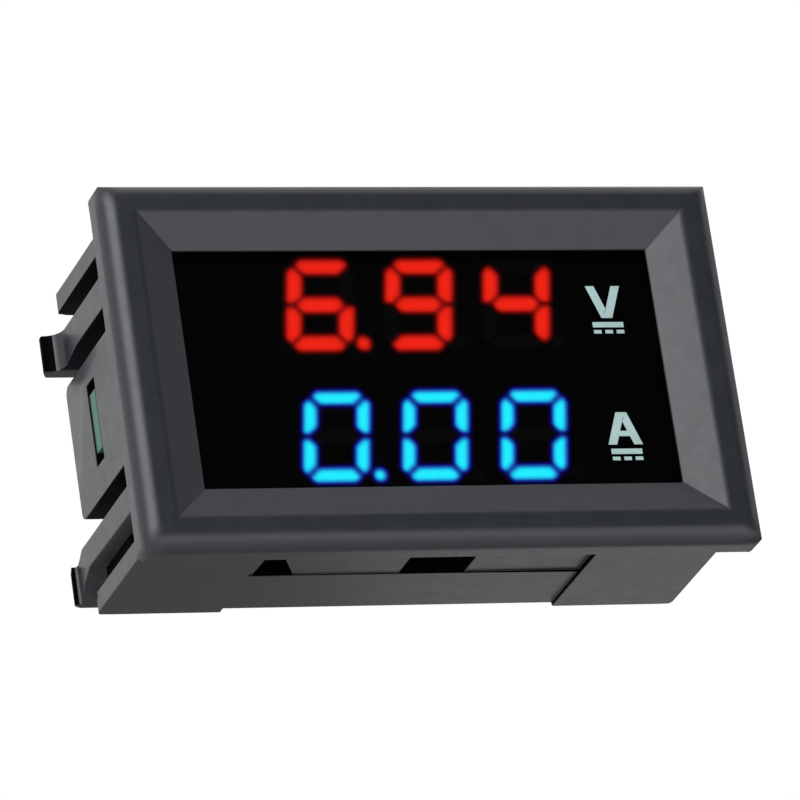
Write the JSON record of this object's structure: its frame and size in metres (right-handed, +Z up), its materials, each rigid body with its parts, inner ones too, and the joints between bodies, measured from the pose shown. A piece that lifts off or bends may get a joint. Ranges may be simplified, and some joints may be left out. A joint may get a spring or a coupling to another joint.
{
  "type": "digital panel meter",
  "caption": "Snap-in panel meter with a bevelled rectangular bezel, a two-row segment display and an open rear with wire headers.",
  "frame": {"origin": "centre of the bezel's rear face, in the plane that seats on the panel", "axes": "+Y back through the panel, -Y out of the display towards the reader, +Z up, +X to the reader's right"},
  "size_m": [0.0484, 0.021, 0.029],
  "materials": {
    "housing_abs": "satin charcoal moulding",
    "smoked_filter": "smoked, glossy",
    "display_shell": "black, semi-gloss",
    "board_epoxy": "green solder mask over glass epoxy",
    "red_lit": "lit resin",
    "blue_lit": "lit resin",
    "segment_unlit": "smoked resin, unlit",
    "tinned_metal": "bright tin",
    "chip_epoxy": "moulded epoxy",
    "shunt_wire": "drawn copper alloy wire",
    "header_nylon": "natural nylon",
    "trimmer_base": "fired ceramic",
    "trimmer_rotor": "pressed brass",
    "capacitor_body": "sintered ceramic"
  },
  "bodies": {
    "meter": {"housing": "housing_abs", "window_filter": "smoked_filter", "display_shell": "display_shell", "display_board": "board_epoxy", "display_pins": "tinned_metal", "volts_segments_lit": "red_lit", "volts_segments_unlit": "segment_unlit", "amps_segments_lit": "blue_lit", "amps_segments_unlit": "segment_unlit", "circuit_board": "board_epoxy", "solder_joints": "tinned_metal", "microcontroller": "chip_epoxy", "microcontroller_leads": "tinned_metal", "amplifier": "chip_epoxy", "amplifier_leads": "tinned_metal", "regulator": "chip_epoxy", "regulator_leads": "tinned_metal", "input_diode": "chip_epoxy", "diode_terminals": "tinned_metal", "current_shunt": "shunt_wire", "supply_header": "header_nylon", "supply_header_pins": "tinned_metal", "current_header": "header_nylon", "current_header_pins": "tinned_metal", "volts_trimmer_base": "trimmer_base", "volts_trimmer_terminals": "tinned_metal", "amps_trimmer_base": "trimmer_base", "amps_trimmer_terminals": "tinned_metal", "chip_capacitors": "capacitor_body", "capacitor_ends": "tinned_metal", "chip_resistors": "chip_epoxy", "resistor_ends": "tinned_metal"},
    "volts_rotor": {"volts_trimmer_rotor": "trimmer_rotor"},
    "amps_rotor": {"amps_trimmer_rotor": "trimmer_rotor"}
  },
  "joints": [
    {"name": "volts_trim", "type": "hinge", "parent": "meter", "child": "volts_rotor", "pos_m": [-0.0144, 0.012, 0.0079], "axis": [0, 1, 0], "range_deg": [-130, 130]},
    {"name": "amps_trim", "type": "hinge", "parent": "meter", "child": "amps_rotor", "pos_m": [0.0144, 0.012, 0.0079], "axis": [0, 1, 0], "range_deg": [-130, 130]}
  ]
}
